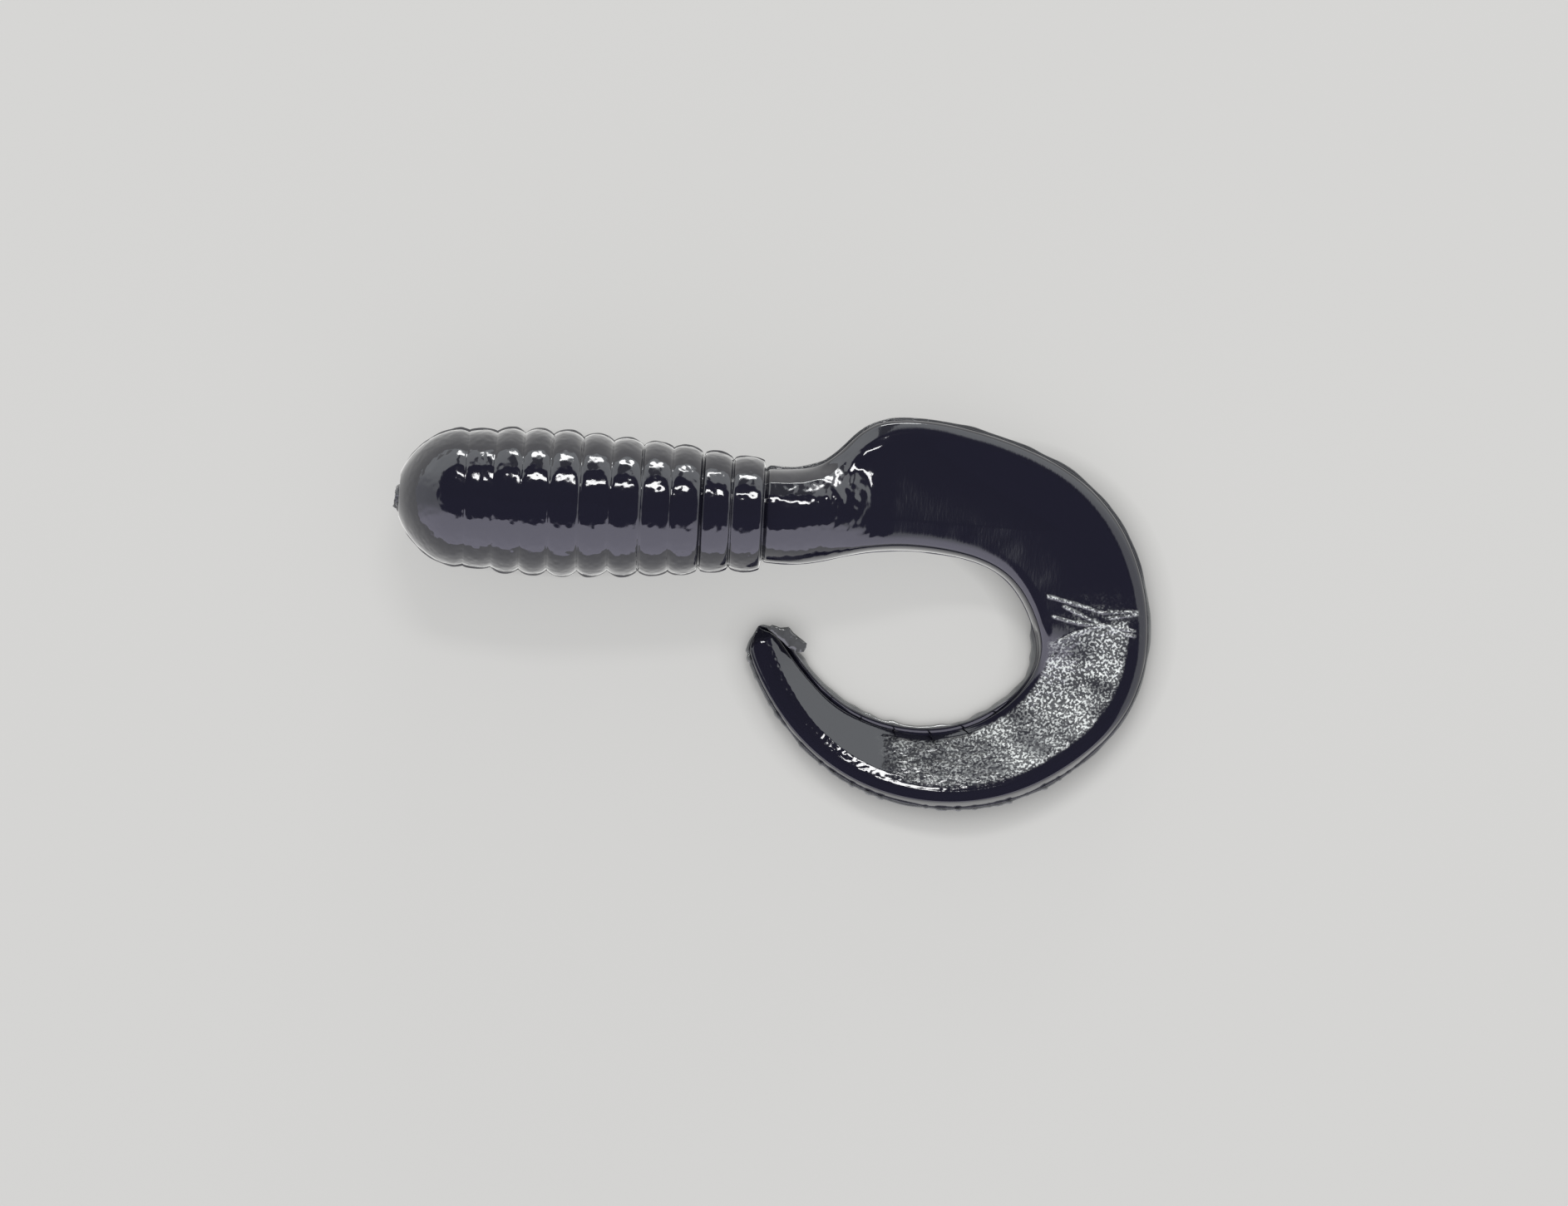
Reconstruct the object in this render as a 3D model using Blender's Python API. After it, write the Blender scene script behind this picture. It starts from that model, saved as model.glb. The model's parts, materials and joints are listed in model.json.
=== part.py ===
"""Curly-tail soft plastic grub, lying on its side with the tail curled.

The real lure is one soft moulding. It is divided here at its grooves and across its tail, where it bends, so
that each stretch between two bends is a solid of its own. Lengths are in millimetres until mesh_object()
turns them into metres. In the lure's own frame the nose seat is at the origin and +X runs down the body.
"""

import math

import bmesh
import bpy
import numpy as np
from mathutils import Matrix, Vector

# Placing: +Z up, origin on the table under the middle of the lure's outline.
METRE = 0.001
NOSE = Vector((-25.38, 6.01, 4.90))  # where the body's axis meets the nose seat

# Body: a domed nose, then ten ribs with rounded crests, a little wider towards the neck.
GROOVES = (4.47, 6.34, 8.24, 10.14, 12.18, 14.22, 16.27, 18.29, 20.33, 22.35, 24.55)  # behind the nose seat
DOME_RADIUS = 4.60
DOME_LENGTH = 4.00  # from the seat to the dome's widest point
DOME_REACH = 4.35  # length the dome would have if it ran on to a point
DOME_POWER = 1.8
RIB_RADII = (4.65, 4.85, 4.90, 4.90, 4.78, 4.63, 4.48, 4.32, 4.02, 3.86)
GROOVE_DEPTH = 0.42
RIB_POWER = 2.4  # 2 is a parabola; more makes a flatter crest
CORE_RADIUS = 2.00  # a groove that bends is V-shaped down to this core
GROOVE_FLARE = 0.25
STUB_RADIUS = 1.50  # what the trimmed gate left on the nose
STUB_LENGTH = 0.50
STUB_PROUD = 0.25

# Gaps between neighbouring solids.
PLAIN_GAP = 0.30
BODY_JOINT_GAP = 0.50
TAIL_GAP = 0.45

# Tail: its outer and inner edge, station by station: x and y from the nose, and height above the table.
TAIL_EDGES = (
    (24.55, 3.15, 4.90, 24.60, -3.15, 4.90),
    (28.20, 3.65, 4.85, 27.60, -3.10, 4.80),
    (30.55, 5.75, 4.55, 31.00, -2.25, 4.40),
    (33.40, 6.95, 4.10, 34.30, -1.87, 3.85),
    (38.30, 6.55, 3.30, 37.10, -2.00, 3.10),
    (43.20, 5.05, 2.50, 39.60, -2.55, 2.25),
    (47.30, 2.40, 1.80, 41.60, -3.85, 1.45),
    (49.95, -1.70, 1.25, 42.95, -6.00, 0.85),
    (51.00, -6.60, 1.10, 43.52, -8.40, 0.55),
    (50.15, -11.30, 1.60, 42.65, -10.60, 0.50),
    (47.30, -15.10, 2.10, 40.60, -12.45, 0.48),
    (43.00, -17.95, 2.20, 38.00, -13.60, 0.45),
    (38.10, -19.00, 2.00, 35.20, -13.85, 0.42),
    (33.20, -18.35, 1.75, 32.40, -13.30, 0.40),
    (28.95, -16.10, 1.45, 30.00, -12.10, 0.40),
    (26.00, -12.95, 1.25, 28.10, -10.35, 0.42),
    (24.30, -9.90, 1.05, 26.60, -8.55, 0.50),
    (23.90, -7.90, 0.85, 25.40, -7.00, 0.65),
)

# Half thickness, station by station: at the ridge near the outer edge, and near the inner edge.
RIDGE_HALF = (
    (0.95, 0.95, 0.95, 0.98, 1.00, 1.00, 0.98, 0.96, 0.95)
    + (0.95, 0.95, 0.94, 0.92, 0.88, 0.83, 0.77, 0.70, 0.64)
)
INNER_HALF = (
    (0.50, 0.50, 0.50, 0.50, 0.48, 0.45, 0.40, 0.32, 0.23)
    + (0.17, 0.14, 0.13, 0.12, 0.12, 0.13, 0.15, 0.20, 0.26)
)
INNER_BEVEL = 0.45
CHAMFER = 1.00  # width of the chamfer outside the ridge
CHAMFER_DROP = 0.45  # share of the half thickness lost across it, before the side turns down
SIDE_TURN = 10  # how suddenly it turns

# The round neck runs on into the tail as a spine along the inner edge and dies away there. Station by
# station: half height, distance of its crest from the inner edge, and reach from the crest outwards.
SPINE = (
    (3.20, 3.15, 3.15),
    (3.10, 3.10, 3.60),
    (2.45, 2.60, 3.60),
    (1.60, 1.90, 3.00),
    (1.15, 1.40, 2.20),
    (0.90, 1.10, 1.60),
    (0.65, 0.90, 1.20),
    (0.40, 0.80, 1.00),
    (0.15, 0.80, 1.00),
    (0.02, 0.80, 1.00),
)
SPINE_BLEND = 4  # how softly spine and blade merge; more is sharper

# Where the tail bends, measured along the middle of the parting plane from the neck's groove.
NECK_LENGTH = 3.60
SHOULDER_LENGTH = 5.40
BLADE_SECTIONS = 16  # the last of them is the tip
TIP_ROUND = 1.60  # length over which the tip rounds off

# Ragged moulding flash that stands off the tip's inner side: its outline, and its height and thickness.
FLASH_OUTLINE = ((26.15, -7.45), (26.95, -7.30), (27.35, -7.75), (27.80, -8.30), (27.72, -8.95), (27.25, -8.75))
FLASH_HEIGHT = 0.95
FLASH_THICKNESS = 0.35

# Facets
ROUND_STEPS = 28
RIB_ROWS = 5
TAIL_POINTS = 14  # across one face of the tail
BLACK = (0.012, 0.012, 0.017, 1.0)


def spline_through(rows):
    """A natural cubic spline through rows set one station apart, as a function of the station number."""
    known = np.array(rows, float).reshape(len(rows), -1)
    bend = np.zeros_like(known)
    inner = len(known) - 2
    matrix = np.diag(np.full(inner, 4.0)) + np.diag(np.ones(inner - 1), 1) + np.diag(np.ones(inner - 1), -1)
    bend[1:-1] = np.linalg.solve(matrix, 6 * (known[2:] - 2 * known[1:-1] + known[:-2]))

    def at(station):
        i = min(max(int(station), 0), len(known) - 2)
        u = station - i
        straight = known[i] * (1 - u) + known[i + 1] * u
        return straight + (bend[i] * ((1 - u) ** 3 - (1 - u)) + bend[i + 1] * (u**3 - u)) / 6

    return at


AXIS_HEIGHTS = (0, 0, NOSE.z, 0, 0, NOSE.z)
edges_at = spline_through([[v - h for v, h in zip(row, AXIS_HEIGHTS)] for row in TAIL_EDGES])
ridge_at = spline_through(RIDGE_HALF)
inner_at = spline_through(INNER_HALF)
spine_at = spline_through(SPINE)
LAST_STATION = len(TAIL_EDGES) - 1


def outer_edge(station):
    return Vector(edges_at(station)[:3])


def inner_edge(station):
    return Vector(edges_at(station)[3:])


def centre(station):
    return (outer_edge(station) + inner_edge(station)) / 2


def length_table(steps=1700):
    """Station numbers, and the length of the tail's centreline up to each."""
    stations = np.linspace(0, LAST_STATION, steps + 1)
    points = np.array([centre(s) for s in stations])
    lengths = np.concatenate([[0], np.cumsum(np.linalg.norm(np.diff(points, axis=0), axis=1))])
    return stations, lengths


STATIONS, LENGTHS = length_table()
TAIL_LENGTH = float(LENGTHS[-1])


def station_at(length):
    return float(np.interp(length, LENGTHS, STATIONS))


def length_at(station):
    return float(np.interp(station, STATIONS, LENGTHS))


def tail_axes(station):
    """Unit vectors at a station: across from the inner edge to the outer, along the tail, and up out of its plane."""
    across = (outer_edge(station) - inner_edge(station)).normalized()
    step = 0.02
    ahead = centre(min(station + step, LAST_STATION)) - centre(max(station - step, 0))
    up = ahead.cross(across).normalized()
    if up.z < 0:
        up.negate()
    return across, across.cross(up).normalized(), up


def half_thickness(station, from_inner, width):
    """Half the tail's thickness at a distance from its inner edge."""
    from_outer = width - from_inner
    ridge = float(ridge_at(station)[0])
    thin = float(inner_at(station)[0])
    chamfer = min(CHAMFER, 0.4 * width)
    wedge = thin + (ridge - thin) * min(1.0, from_inner / (width - chamfer))
    outwards = 1 - min(1.0, from_outer / chamfer)
    outer_fall = (1 - CHAMFER_DROP * outwards**1.2) * math.sqrt(max(0.0, 1 - outwards**SIDE_TURN))
    inner_fall = 1 - (1 - min(1.0, from_inner / INNER_BEVEL)) ** 2
    blade = wedge * outer_fall * inner_fall
    if station >= len(SPINE) - 1:
        return blade
    height, crest, reach = spine_at(station)
    side = (from_inner - crest) / (crest if from_inner < crest else min(reach, width - crest))
    power = 0.5 if from_inner < crest else 0.5 + 0.35 * min(1.0, station / 2)
    spine = height * max(0.0, 1 - side * side) ** power
    return (blade**SPINE_BLEND + spine**SPINE_BLEND) ** (1 / SPINE_BLEND)


def section_ring(station, across_points=TAIL_POINTS):
    """The closed outline of the tail's cross-section: over the top from inner to outer edge, and back below."""
    inner = inner_edge(station)
    width = (outer_edge(station) - inner).length
    across, _, up = tail_axes(station)
    left = TAIL_LENGTH - length_at(station)
    shrink = math.sqrt(max(0.02, 1 - (1 - min(1.0, left / TIP_ROUND)) ** 2))
    top, bottom = [], []
    for i in range(across_points + 1):
        share = (1 - math.cos(math.pi * i / across_points)) / 2
        middle = inner + across * width * (0.5 + (share - 0.5) * shrink)
        half = half_thickness(station, share * width, width) * shrink
        top.append(middle + up * half)
        bottom.append(middle - up * half)
    return top + bottom[-2:0:-1]


def black_plastic(name):
    """Glossy black plastisol, the one material of the moulding."""
    material = bpy.data.materials.get(name) or bpy.data.materials.new(name)
    material.use_nodes = True
    shader = material.node_tree.nodes["Principled BSDF"]
    shader.inputs["Base Color"].default_value = BLACK
    shader.inputs["Roughness"].default_value = 0.12
    shader.inputs["Metallic"].default_value = 0.0
    return material


def mesh_object(name, bm, hinge):
    """Makes a node from a mesh in the lure's frame, with its origin on the hinge that carries it."""
    bmesh.ops.remove_doubles(bm, verts=bm.verts, dist=0.001)
    bmesh.ops.recalc_face_normals(bm, faces=bm.faces)
    to_world = Matrix.Scale(METRE, 4) @ Matrix.Translation(NOSE)
    mesh = bpy.data.meshes.new(name)
    bm.transform(to_world)
    bm.transform(Matrix.Translation(-hinge.matrix_world.translation))
    bm.to_mesh(mesh)
    bm.free()
    mesh.shade_smooth()
    mesh.set_sharp_from_angle(angle=math.radians(40))
    mesh.materials.append(black_plastic("black_plastisol"))
    obj = bpy.data.objects.new(name, mesh)
    bpy.context.scene.collection.objects.link(obj)
    obj.parent = hinge
    return obj


def turned(name, profile, hinge):
    """A solid of revolution about the body's axis. The profile runs front to back and ends on the axis."""
    bm = bmesh.new()
    points = [bm.verts.new((x, 0, radius)) for x, radius in profile]
    lines = [bm.edges.new(pair) for pair in zip(points, points[1:])]
    bmesh.ops.spin(
        bm,
        geom=points + lines,
        cent=(0, 0, 0),
        axis=(1, 0, 0),
        angle=math.tau,
        steps=ROUND_STEPS,
        use_merge=True,
        use_duplicate=False,
    )
    return mesh_object(name, bm, hinge)


def lofted(name, start, end, rings, hinge):
    """A stretch of the tail between two stations, with flat ends."""
    bm = bmesh.new()
    previous = None
    for i in range(rings):
        outline = [bm.verts.new(p) for p in section_ring(start + (end - start) * i / (rings - 1))]
        if previous is None:
            bm.faces.new(outline)
        else:
            edges = [bm.edges.get(pair) for pair in zip(previous, previous[1:] + previous[:1])]
            edges += [bm.edges.new(pair) for pair in zip(outline, outline[1:] + outline[:1])]
            bmesh.ops.bridge_loops(bm, edges=[e for e in edges if e])
        previous = outline
    bm.faces.new(previous)
    bmesh.ops.triangulate(bm, faces=bm.faces, quad_method="BEAUTY", ngon_method="BEAUTY")
    return mesh_object(name, bm, hinge)


def empty_at(name, position, parent):
    """An empty on a joint's pivot, carried by the joint before it."""
    empty = bpy.data.objects.new(name, None)
    bpy.context.scene.collection.objects.link(empty)
    world = (position + NOSE) * METRE
    empty.parent = parent
    empty.location = world - (parent.matrix_world.translation if parent else Vector())
    bpy.context.view_layer.update()
    return empty


def groove_x(number):
    """Where groove 0, behind the dome, to groove 10, at the neck, crosses the body's axis."""
    return GROOVES[number]


def is_body_joint(number):
    """The body bends at every second groove, from the one behind the first rib."""
    return number % 2 == 1


def dome_radius(x):
    share = max(0.0, (DOME_LENGTH - x) / DOME_REACH)
    return DOME_RADIUS * (1 - share**DOME_POWER) ** (1 / DOME_POWER)


def make_dome(hinge):
    start = STUB_LENGTH - STUB_PROUD + PLAIN_GAP
    end = GROOVES[0] - PLAIN_GAP / 2
    rows = 9
    xs = [start + (end - start) * math.sin(math.pi / 2 * i / rows) for i in range(rows + 1)]
    profile = [(start, 0)] + [(x, dome_radius(x)) for x in xs] + [(end, 0)]
    return turned("nose_dome", profile, hinge)


def make_gate_stub(hinge):
    back = STUB_LENGTH - STUB_PROUD
    profile = [(-STUB_PROUD, 0), (-STUB_PROUD, STUB_RADIUS), (back, STUB_RADIUS), (back, 0)]
    return turned("gate_stub", profile, hinge)


def make_rib(number, hinge):
    """Rib 1 lies between grooves 0 and 1."""
    bends_in_front = is_body_joint(number - 1)
    bends_behind = is_body_joint(number)
    start = groove_x(number - 1) + (BODY_JOINT_GAP if bends_in_front else PLAIN_GAP) / 2
    end = groove_x(number) - (BODY_JOINT_GAP if bends_behind else PLAIN_GAP) / 2
    rim_start = start + (GROOVE_FLARE if bends_in_front else 0)
    rim_end = end - (GROOVE_FLARE if bends_behind else 0)
    middle = (groove_x(number - 1) + groove_x(number)) / 2
    half_pitch = groove_x(number) - middle
    profile = [(start, 0), (start, CORE_RADIUS)]
    for i in range(RIB_ROWS + 1):
        x = rim_start + (rim_end - rim_start) * i / RIB_ROWS
        fall = abs((x - middle) / half_pitch) ** RIB_POWER
        profile.append((x, RIB_RADII[number - 1] - GROOVE_DEPTH * fall))
    profile += [(end, CORE_RADIUS), (end, 0)]
    return turned(f"rib_{number:02d}", profile, hinge)


def tail_breaks():
    """Lengths along the tail at which it is divided, from the neck's groove to the tip."""
    blades = TAIL_LENGTH - NECK_LENGTH - SHOULDER_LENGTH
    after_shoulder = [NECK_LENGTH + SHOULDER_LENGTH + blades * i / BLADE_SECTIONS for i in range(BLADE_SECTIONS + 1)]
    return [0.0, NECK_LENGTH] + after_shoulder


def bends_in_plane(number):
    """Which of the tail's bends open the curl; the others flap it. Bend 0 is at the neck, bend 1 at the shoulder."""
    return number >= 2 and (number - 1) % 3 != 0


def tail_bend(number):
    """Pivot and axis of a bend, in the lure's frame."""
    station = station_at(tail_breaks()[number + 1])
    across, _, up = tail_axes(station)
    if bends_in_plane(number):
        return outer_edge(station), up
    return centre(station), across


def tail_names():
    blades = [f"tail_blade_{i:02d}" for i in range(1, BLADE_SECTIONS)]
    return ["neck", "tail_shoulder"] + blades + ["tail_tip"]


def make_tail(body_end):
    """The neck on the body's last stretch, and each later section on a hinge of its own. Returns the tip's."""
    breaks = tail_breaks()
    names = tail_names()
    hinge = body_end
    for i, name in enumerate(names):
        if i > 0:
            hinge = empty_at(f"bend_{name}", tail_bend(i - 1)[0], hinge)
        front_gap = PLAIN_GAP if i == 0 else TAIL_GAP
        back_gap = 0 if name == "tail_tip" else TAIL_GAP
        start = station_at(breaks[i] + front_gap / 2)
        end = station_at(breaks[i + 1] - back_gap / 2)
        rings = {"neck": 6, "tail_shoulder": 9, "tail_tip": 8}.get(name, 5)
        lofted(name, start, end, rings, hinge)
    return hinge


def make_tip_flash(hinge):
    bm = bmesh.new()
    corners = [bm.verts.new((x, y, FLASH_HEIGHT - NOSE.z)) for x, y in FLASH_OUTLINE]
    face = bm.faces.new(corners)
    grown = bmesh.ops.extrude_face_region(bm, geom=[face])
    raised = [v for v in grown["geom"] if isinstance(v, bmesh.types.BMVert)]
    bmesh.ops.translate(bm, verts=raised, vec=(0, 0, FLASH_THICKNESS))
    return mesh_object("tip_flash", bm, hinge)


def main():
    for old in list(bpy.data.objects):
        bpy.data.objects.remove(old, do_unlink=True)
    hinge = empty_at("lure", Vector((0, 0, 0)), None)
    make_gate_stub(hinge)
    make_dome(hinge)
    for number in range(1, len(RIB_RADII) + 1):
        if is_body_joint(number - 1):
            hinge = empty_at(f"bend_rib_{number:02d}", Vector((groove_x(number - 1), 0, 0)), hinge)
        make_rib(number, hinge)
    make_tip_flash(make_tail(hinge))


main()
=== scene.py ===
import itertools
import json
import math

import bmesh
import bpy
import numpy as np
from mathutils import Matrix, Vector

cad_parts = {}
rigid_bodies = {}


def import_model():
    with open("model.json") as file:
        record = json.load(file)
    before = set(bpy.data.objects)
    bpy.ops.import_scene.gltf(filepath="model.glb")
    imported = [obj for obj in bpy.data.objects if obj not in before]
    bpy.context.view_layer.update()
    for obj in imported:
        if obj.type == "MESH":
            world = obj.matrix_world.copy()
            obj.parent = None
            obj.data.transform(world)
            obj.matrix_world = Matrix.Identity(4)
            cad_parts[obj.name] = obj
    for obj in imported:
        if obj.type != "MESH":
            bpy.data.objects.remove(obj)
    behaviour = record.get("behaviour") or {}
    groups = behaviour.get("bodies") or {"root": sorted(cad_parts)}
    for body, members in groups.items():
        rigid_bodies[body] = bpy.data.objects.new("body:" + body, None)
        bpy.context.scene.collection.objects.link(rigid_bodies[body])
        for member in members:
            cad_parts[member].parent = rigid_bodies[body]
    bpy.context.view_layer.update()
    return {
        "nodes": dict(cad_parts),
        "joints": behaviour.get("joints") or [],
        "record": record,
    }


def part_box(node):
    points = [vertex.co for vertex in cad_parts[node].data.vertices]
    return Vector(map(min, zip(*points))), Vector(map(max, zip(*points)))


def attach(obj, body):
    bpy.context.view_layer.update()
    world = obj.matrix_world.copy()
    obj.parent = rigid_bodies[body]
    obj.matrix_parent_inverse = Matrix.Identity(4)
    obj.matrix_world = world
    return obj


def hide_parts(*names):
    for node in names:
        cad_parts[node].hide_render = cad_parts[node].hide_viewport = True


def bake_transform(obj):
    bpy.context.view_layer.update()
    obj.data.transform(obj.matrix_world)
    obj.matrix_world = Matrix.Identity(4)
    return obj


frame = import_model()

mm = 0.001
seat = Vector(frame["record"]["mounts"][0]["pos_m"]) / mm  # on the body's axis, at the trimmed gate
seat.x = sum(corner[0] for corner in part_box("gate_stub")) / 2 / mm
bodyNodes = ["nose_dome"] + [f"rib_{n:02d}" for n in range(1, 11)]
tailNodes = ["neck", "tail_shoulder"] + [f"tail_blade_{n:02d}" for n in range(1, 16)] + ["tail_tip"]
nextBody = {joint["parent"]: joint["child"] for joint in frame["joints"]}
chain = ["head"]  # the bodies in order, from the nose to the tip
while chain[-1] in nextBody:
    chain.append(nextBody[chain[-1]])

# ---- camera, floor and light

look = {
    "height": 800,  # of the lens above the table, mm
    "span": 105.9,  # what the picture takes in from left to right, mm
    "level": 3.0,  # height at which that is measured
    "aim": (0.88, 0.16),
    "roll": 3.3,  # degrees
}

studio = {
    "floorRough": 0.5,
    "floorTone": (0.208, 0.205, 0.201),
    "floorPaintedFill": (0.428, 0.428, 0.420),  # painted fill light: the table glows with this, lightening its own shadows
    "paintedShadeReach": 2.2,  # painted shade: mm round the lure within which the table's glow dims, darkening it near the contact
    "glowInReflections": 2.6,  # painted reflection: how many times brighter the table glows where the lure mirrors it
    "roomTone": (1.45, 1.48, 1.58),  # what the gloss mirrors outside the hood
    "roomToneBack": (2.55, 2.65, 2.72),  # towards +Y
    "roomToneFront": (2.75, 2.68, 3.20),  # towards -Y
    "wallTurn": (0.1, 0.6),  # how far round, as a sine, the side walls give way to those two
    "softTone": (0.78, 0.78, 0.775),  # light that the room sheds on everything matt
    "hoodTone": (0.13, 0.12, 0.21),  # dark hood straight above it
    "hoodEdge": (0.72, 0.77),  # cosine of the angle from straight up, from room to hood
    "hoodLean": (12.5, 3.0),  # degrees towards -Y and -X
    "hoodStretch": (0.88, 0.82, 1.0),  # less than 1 makes it longer along that axis
    "slit": (67.0, 7.0, 0.30),  # dark gap between the lamps: tilt towards +Y, half width, tone
    "backdrop": (0.8, 0.8, 0.79),  # what other views see above the table
    "lampDistance": 900,
    "lamps": (  # degrees from straight up, towards +Y; degrees towards +X; width and depth, mm; brightness
        (39.0, 2.0, 340, 105, 25),
        (80.0, 2.0, 330, 90, 22),
    ),
}


def makeCamera():
    data = bpy.data.cameras.new("camera")
    data.sensor_width = 36
    data.lens = data.sensor_width * (look["height"] - look["level"]) / look["span"]
    data.clip_start, data.clip_end = 0.01, 20
    camera = bpy.data.objects.new("camera", data)
    camera.location = (look["aim"][0] * mm, look["aim"][1] * mm, look["height"] * mm)
    camera.rotation_euler = (0, 0, math.radians(look["roll"]))
    bpy.context.scene.collection.objects.link(camera)
    bpy.context.scene.camera = camera


def makeLamp(number, tilt, aside, width, depth, brightness):
    data = bpy.data.lights.new(f"lamp{number}", "AREA")
    data.shape = "RECTANGLE"
    data.size, data.size_y = width * mm, depth * mm
    data.energy = brightness * math.pi * data.size * data.size_y
    lamp = bpy.data.objects.new(f"lamp{number}", data)
    up, over = math.radians(tilt), math.radians(aside)
    lamp.location = Vector((math.sin(over), math.sin(up), math.cos(up))) * studio["lampDistance"] * mm
    lamp.rotation_euler = (-lamp.location).to_track_quat("-Z", "Y").to_euler()
    lamp.visible_camera = False
    bpy.context.scene.collection.objects.link(lamp)


def makeRoom():
    world = bpy.data.worlds.new("room")
    bpy.context.scene.world = world
    world.use_nodes = True
    nodes, links = world.node_tree.nodes, world.node_tree.links
    nodes.clear()
    direction = nodes.new("ShaderNodeTexCoord").outputs["Generated"]

    def mixed(factor, a, b):
        mix = nodes.new("ShaderNodeMix")
        mix.data_type = "RGBA"
        links.new(factor, mix.inputs["Factor"])
        for key, tone in (("A", a), ("B", b)):
            if isinstance(tone, tuple):
                mix.inputs[key].default_value = (*tone, 1)
            else:
                links.new(tone, mix.inputs[key])
        return mix.outputs["Result"]

    def fromTo(value, low, high):
        edge = nodes.new("ShaderNodeMapRange")
        edge.interpolation_type = "SMOOTHSTEP"
        edge.inputs["From Min"].default_value, edge.inputs["From Max"].default_value = low, high
        links.new(value, edge.inputs["Value"])
        return edge.outputs["Result"]

    lean = nodes.new("ShaderNodeMapping")
    lean.inputs["Rotation"].default_value = tuple(map(math.radians, (*studio["hoodLean"], 0)))
    links.new(direction, lean.inputs["Vector"])
    stretch = nodes.new("ShaderNodeVectorMath")
    stretch.operation = "MULTIPLY"
    stretch.inputs[1].default_value = studio["hoodStretch"]
    links.new(lean.outputs["Vector"], stretch.inputs[0])
    unit = nodes.new("ShaderNodeVectorMath")
    unit.operation = "NORMALIZE"
    links.new(stretch.outputs["Vector"], unit.inputs[0])
    height = nodes.new("ShaderNodeSeparateXYZ")
    links.new(unit.outputs["Vector"], height.inputs["Vector"])
    plain = nodes.new("ShaderNodeSeparateXYZ")
    links.new(direction, plain.inputs["Vector"])
    tilt, reach, slitTone = studio["slit"]
    towards = nodes.new("ShaderNodeVectorMath")
    towards.operation = "DOT_PRODUCT"
    towards.inputs[1].default_value = (0, math.sin(math.radians(tilt)), math.cos(math.radians(tilt)))
    links.new(direction, towards.inputs[0])
    slitEdges = [math.cos(math.radians(reach * share)) for share in (1.3, 1)]
    inSlit = fromTo(towards.outputs["Value"], *slitEdges)
    turning = studio["wallTurn"]
    walls = mixed(fromTo(plain.outputs["Y"], *turning), studio["roomTone"], studio["roomToneBack"])
    front = nodes.new("ShaderNodeMath")
    front.operation = "MULTIPLY"
    front.inputs[1].default_value = -1
    links.new(plain.outputs["Y"], front.inputs[0])
    walls = mixed(fromTo(front.outputs["Value"], *turning), walls, studio["roomToneFront"])
    walls = mixed(inSlit, walls, tuple(slitTone * tone for tone in studio["roomTone"]))
    seenInGloss = mixed(fromTo(height.outputs["Z"], *studio["hoodEdge"]), walls, studio["hoodTone"])
    path = nodes.new("ShaderNodeLightPath")
    shed = mixed(path.outputs["Is Diffuse Ray"], seenInGloss, studio["softTone"])
    light = nodes.new("ShaderNodeBackground")
    links.new(mixed(path.outputs["Is Camera Ray"], shed, studio["backdrop"]), light.inputs["Color"])
    out = nodes.new("ShaderNodeOutputWorld")
    links.new(light.outputs["Background"], out.inputs["Surface"])


def makeFloor():
    bm = bmesh.new()
    bmesh.ops.create_grid(bm, x_segments=4, y_segments=4, size=1.5)
    mesh = bpy.data.meshes.new("table")
    bm.to_mesh(mesh)
    bm.free()
    table = bpy.data.objects.new("table", mesh)
    bpy.context.scene.collection.objects.link(table)
    material = bpy.data.materials.new("paleTable")
    material.use_nodes = True
    shader = material.node_tree.nodes["Principled BSDF"]
    shader.inputs["Base Color"].default_value = (*studio["floorTone"], 1)
    # painted fill light: the table glows
    shader.inputs["Emission Color"].default_value = (*studio["floorPaintedFill"], 1)
    # painted reflection: the glow is stronger in glossy rays, so the lure mirrors a brighter table
    mirrored = material.node_tree.nodes.new("ShaderNodeLightPath")
    glow = material.node_tree.nodes.new("ShaderNodeMapRange")
    glow.inputs["To Min"].default_value, glow.inputs["To Max"].default_value = 1, studio["glowInReflections"]
    material.node_tree.links.new(mirrored.outputs["Is Glossy Ray"], glow.inputs["Value"])
    # painted contact shade: the glow dims where the lure is close
    shade = material.node_tree.nodes.new("ShaderNodeAmbientOcclusion")
    shade.inputs["Distance"].default_value = studio["paintedShadeReach"] * mm
    dimmed = material.node_tree.nodes.new("ShaderNodeMath")
    dimmed.operation = "MULTIPLY"
    material.node_tree.links.new(glow.outputs["Result"], dimmed.inputs[0])
    material.node_tree.links.new(shade.outputs["AO"], dimmed.inputs[1])
    material.node_tree.links.new(dimmed.outputs["Value"], shader.inputs["Emission Strength"])
    shader.inputs["Roughness"].default_value = studio["floorRough"]
    shader.inputs["Specular IOR Level"].default_value = 0
    table.data.materials.append(material)


makeCamera()
makeRoom()
makeFloor()
for number, lampRow in enumerate(studio["lamps"]):
    makeLamp(number + 1, *lampRow)
bpy.context.scene.view_settings.view_transform = "Standard"
print("camera, room and table are set")

# ---- what the CAD says: grooves and crests of the body, cross-sections of the tail


def nodeBox(name):
    low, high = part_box(name)
    return Vector(low) / mm, Vector(high) / mm


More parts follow.
